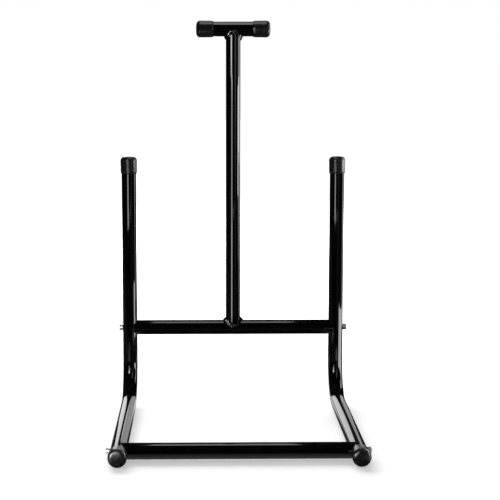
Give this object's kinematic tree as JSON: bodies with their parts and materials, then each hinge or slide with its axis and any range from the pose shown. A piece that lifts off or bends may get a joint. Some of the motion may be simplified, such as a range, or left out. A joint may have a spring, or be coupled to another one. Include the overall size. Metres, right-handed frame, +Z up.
{
  "type": "boot washing stand",
  "caption": "Free-standing bent-tube steel stand that holds riding boots upside down on capped posts for washing and drying, with a T-handle for carrying",
  "frame": {"origin": "Middle of the stand's bounding box in plan, on the floor that it stands on", "axes": "+Z up, -Y towards the front (the capped feet and the front cross tube), +X to the right as seen from the front"},
  "size_m": [0.4, 0.4333, 0.6674],
  "materials": {
    "powder_coat": "gloss black powder coat",
    "vinyl": "satin black dipped vinyl",
    "zinc": "bright zinc plate",
    "bare_steel": "plain turned steel, hidden inside the tube ends"
  },
  "bodies": {
    "root": {"left_side_tube": "powder_coat", "right_side_tube": "powder_coat", "front_cross_tube": "powder_coat", "rear_cross_tube": "powder_coat", "handle_post": "powder_coat", "handle_bar": "powder_coat", "handle_base_weld": "powder_coat", "handle_bar_weld": "powder_coat", "left_foot_cap": "vinyl", "right_foot_cap": "vinyl", "left_post_cap": "vinyl", "right_post_cap": "vinyl", "left_handle_cap": "vinyl", "right_handle_cap": "vinyl", "front_left_screw": "zinc", "front_right_screw": "zinc", "rear_left_screw": "zinc", "rear_right_screw": "zinc", "front_left_insert": "bare_steel", "front_right_insert": "bare_steel", "rear_left_insert": "bare_steel", "rear_right_insert": "bare_steel"}
  },
  "joints": []
}
